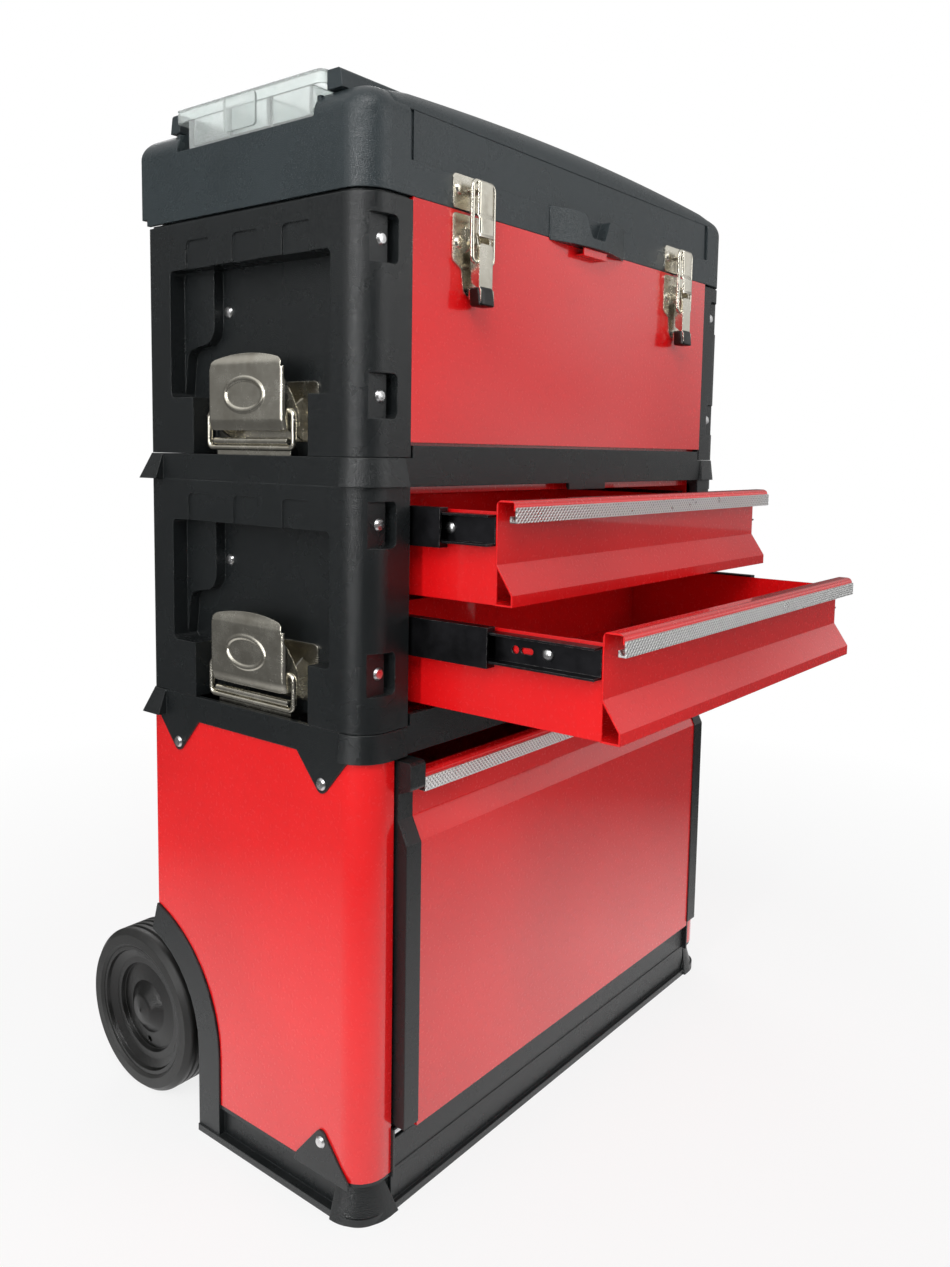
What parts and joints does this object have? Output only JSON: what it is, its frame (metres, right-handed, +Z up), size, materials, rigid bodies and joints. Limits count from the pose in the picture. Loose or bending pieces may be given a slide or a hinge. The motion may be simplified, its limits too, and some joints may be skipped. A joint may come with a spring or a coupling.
{
  "type": "modular tool trolley",
  "caption": "Rolling tool trolley of stacked boxes: tilt-out bin with wheels, drawer unit and top box with latched lid, joined by side latches.",
  "frame": {"origin": "on the floor, under the middle of the boxes' plan", "axes": "+Z up, -Y towards the front, +X to the right seen from the front"},
  "size_m": [0.49, 0.4596, 0.7298],
  "materials": {
    "black_plastic": "fine moulded grain",
    "lid_plastic": "fine moulded grain",
    "red_paint": "gloss paint",
    "zinc_plate": "bright nickel plate",
    "rivet_steel": "bright",
    "aluminium_strip": "satin, fluted",
    "steel_tube": "bright",
    "clear_plastic": "clear, slightly frosted",
    "wheel_plastic": "satin",
    "tyre_rubber": "matt rubber",
    "grip_rubber": "soft touch",
    "button_plastic": "gloss"
  },
  "bodies": {
    "base": {"base_tray": "black_plastic", "side_panel_left": "red_paint", "side_panel_right": "red_paint", "back_panel": "red_paint", "lower_collar": "black_plastic", "lower_rivets": "rivet_steel", "lower_strikes": "zinc_plate", "wheel_axle": "steel_tube", "handle_outer_tubes": "steel_tube", "bin_rod": "steel_tube"},
    "wheel_left": {"wheel_disc_left": "wheel_plastic", "tyre_left": "tyre_rubber"},
    "wheel_right": {"wheel_disc_right": "wheel_plastic", "tyre_right": "tyre_rubber"},
    "handle": {"handle_inner_tubes": "steel_tube", "handle_grip": "grip_rubber"},
    "button": {"handle_button": "button_plastic"},
    "bin": {"bin_tub": "black_plastic", "door_panel": "red_paint", "door_strip": "aluminium_strip", "door_trims": "black_plastic"},
    "middle_box": {"middle_collar": "black_plastic", "middle_cap_left": "black_plastic", "middle_cap_right": "black_plastic", "middle_shell": "red_paint", "middle_rivets": "rivet_steel", "slide_outers": "zinc_plate", "middle_latch_bases": "zinc_plate"},
    "top_box": {"top_cap_left": "black_plastic", "top_cap_right": "black_plastic", "top_shell": "red_paint", "top_rivets": "rivet_steel", "top_latch_bases": "zinc_plate", "lid_hinge_pin": "steel_tube"},
    "lid": {"lid_shell": "lid_plastic", "lid_catches": "zinc_plate", "organizer_bins": "clear_plastic"},
    "flap_left": {"organizer_flap_left": "clear_plastic"},
    "flap_right": {"organizer_flap_right": "clear_plastic"},
    "carry_handle": {"lid_handle": "black_plastic"},
    "upper_drawer": {"upper_drawer": "red_paint", "upper_drawer_strip": "aluminium_strip", "upper_slide_inners": "zinc_plate"},
    "upper_middles": {"upper_slide_middles": "zinc_plate"},
    "lower_drawer": {"lower_drawer": "red_paint", "lower_drawer_strip": "aluminium_strip", "lower_slide_inners": "zinc_plate"},
    "lower_middles": {"lower_slide_middles": "zinc_plate"},
    "middle_lever_left": {"middle_lever_left": "zinc_plate"},
    "middle_bail_left": {"middle_bail_left": "zinc_plate"},
    "top_lever_left": {"top_lever_left": "zinc_plate"},
    "top_bail_left": {"top_bail_left": "zinc_plate"},
    "front_lever_left": {"front_lever_left": "zinc_plate"},
    "front_hook_left": {"front_hook_left": "zinc_plate"},
    "middle_lever_right": {"middle_lever_right": "zinc_plate"},
    "middle_bail_right": {"middle_bail_right": "zinc_plate"},
    "top_lever_right": {"top_lever_right": "zinc_plate"},
    "top_bail_right": {"top_bail_right": "zinc_plate"},
    "front_lever_right": {"front_lever_right": "zinc_plate"},
    "front_hook_right": {"front_hook_right": "zinc_plate"}
  },
  "joints": [
    {"name": "wheel_left_spin", "type": "hinge", "parent": "base", "child": "wheel_left", "pos_m": [-0.2187, 0.137, 0.0634], "axis": [1, 0, 0], "continuous": true},
    {"name": "wheel_right_spin", "type": "hinge", "parent": "base", "child": "wheel_right", "pos_m": [0.2187, 0.137, 0.0634], "axis": [1, 0, 0], "continuous": true},
    {"name": "handle_slide", "type": "slide", "parent": "base", "child": "handle", "axis": [0, 0, -1], "range_m": [-0.4, 0]},
    {"name": "button_press", "type": "slide", "parent": "handle", "child": "button", "axis": [0, 0, -1], "range_m": [0, 0.0025], "stiffness_N_per_m": 400},
    {"name": "bin_tilt", "type": "hinge", "parent": "base", "child": "bin", "pos_m": [0, -0.1045, 0.0528], "axis": [1, 0, 0], "range_deg": [0, 38]},
    {"name": "middle_lift", "type": "slide", "parent": "base", "child": "middle_box", "axis": [0, 0, 1], "range_m": [0, 0.25]},
    {"name": "top_lift", "type": "slide", "parent": "middle_box", "child": "top_box", "axis": [0, 0, 1], "range_m": [0, 0.25]},
    {"name": "upper_drawer_slide", "type": "slide", "parent": "middle_box", "child": "upper_drawer", "axis": [0, -1, 0], "range_m": [-0.072, 0.1]},
    {"name": "upper_middles_slide", "type": "slide", "parent": "middle_box", "child": "upper_middles", "axis": [0, -1, 0], "range_m": [-0.036, 0.05]},
    {"name": "lower_drawer_slide", "type": "slide", "parent": "middle_box", "child": "lower_drawer", "axis": [0, -1, 0], "range_m": [-0.149, 0.024]},
    {"name": "lower_middles_slide", "type": "slide", "parent": "middle_box", "child": "lower_middles", "axis": [0, -1, 0], "range_m": [-0.0745, 0.012]},
    {"name": "lid_hinge", "type": "hinge", "parent": "top_box", "child": "lid", "pos_m": [0, 0.114, 0.6525], "axis": [-1, 0, 0], "range_deg": [0, 100]},
    {"name": "flap_left_hinge", "type": "hinge", "parent": "lid", "child": "flap_left", "pos_m": [-0.116, 0, 0.7238], "axis": [0, 1, 0], "range_deg": [0, 90]},
    {"name": "flap_right_hinge", "type": "hinge", "parent": "lid", "child": "flap_right", "pos_m": [0.116, 0, 0.7238], "axis": [0, -1, 0], "range_deg": [0, 90]},
    {"name": "carry_fold", "type": "hinge", "parent": "lid", "child": "carry_handle", "pos_m": [0, 0.017, 0.712], "axis": [-1, 0, 0], "range_deg": [0, 90]},
    {"name": "middle_lever_left_swing", "type": "hinge", "parent": "middle_box", "child": "middle_lever_left", "pos_m": [-0.229, 0.003, 0.3493], "axis": [0, -1, 0], "range_deg": [0, 75]},
    {"name": "middle_bail_left_swing", "type": "hinge", "parent": "middle_lever_left", "child": "middle_bail_left", "pos_m": [-0.2335, 0.003, 0.3558], "axis": [0, 1, 0], "range_deg": [0, 115]},
    {"name": "top_lever_left_swing", "type": "hinge", "parent": "top_box", "child": "top_lever_left", "pos_m": [-0.229, 0.003, 0.521], "axis": [0, -1, 0], "range_deg": [0, 75]},
    {"name": "top_bail_left_swing", "type": "hinge", "parent": "top_lever_left", "child": "top_bail_left", "pos_m": [-0.2335, 0.003, 0.5275], "axis": [0, 1, 0], "range_deg": [0, 115]},
    {"name": "front_lever_left_swing", "type": "hinge", "parent": "top_box", "child": "front_lever_left", "pos_m": [-0.1405, -0.1145, 0.64], "axis": [-1, 0, 0], "range_deg": [0, 90]},
    {"name": "front_hook_left_swing", "type": "hinge", "parent": "front_lever_left", "child": "front_hook_left", "pos_m": [-0.1405, -0.117, 0.625], "axis": [1, 0, 0], "range_deg": [0, 90]},
    {"name": "middle_lever_right_swing", "type": "hinge", "parent": "middle_box", "child": "middle_lever_right", "pos_m": [0.229, 0.003, 0.3493], "axis": [0, 1, 0], "range_deg": [0, 75]},
    {"name": "middle_bail_right_swing", "type": "hinge", "parent": "middle_lever_right", "child": "middle_bail_right", "pos_m": [0.2335, 0.003, 0.3558], "axis": [0, -1, 0], "range_deg": [0, 115]},
    {"name": "top_lever_right_swing", "type": "hinge", "parent": "top_box", "child": "top_lever_right", "pos_m": [0.229, 0.003, 0.521], "axis": [0, 1, 0], "range_deg": [0, 75]},
    {"name": "top_bail_right_swing", "type": "hinge", "parent": "top_lever_right", "child": "top_bail_right", "pos_m": [0.2335, 0.003, 0.5275], "axis": [0, -1, 0], "range_deg": [0, 115]},
    {"name": "front_lever_right_swing", "type": "hinge", "parent": "top_box", "child": "front_lever_right", "pos_m": [0.1405, -0.1145, 0.64], "axis": [-1, 0, 0], "range_deg": [0, 90]},
    {"name": "front_hook_right_swing", "type": "hinge", "parent": "front_lever_right", "child": "front_hook_right", "pos_m": [0.1405, -0.117, 0.625], "axis": [1, 0, 0], "range_deg": [0, 90]}
  ],
  "couplings": [
    {"joint": "upper_middles_slide", "follows": "upper_drawer_slide", "ratio": 0.5},
    {"joint": "lower_middles_slide", "follows": "lower_drawer_slide", "ratio": 0.5},
    {"joint": "middle_bail_left_swing", "follows": "middle_lever_left_swing", "ratio": 1.4},
    {"joint": "top_bail_left_swing", "follows": "top_lever_left_swing", "ratio": 1.4},
    {"joint": "front_hook_left_swing", "follows": "front_lever_left_swing", "ratio": 0.9},
    {"joint": "middle_bail_right_swing", "follows": "middle_lever_right_swing", "ratio": 1.4},
    {"joint": "top_bail_right_swing", "follows": "top_lever_right_swing", "ratio": 1.4},
    {"joint": "front_hook_right_swing", "follows": "front_lever_right_swing", "ratio": 0.9}
  ]
}
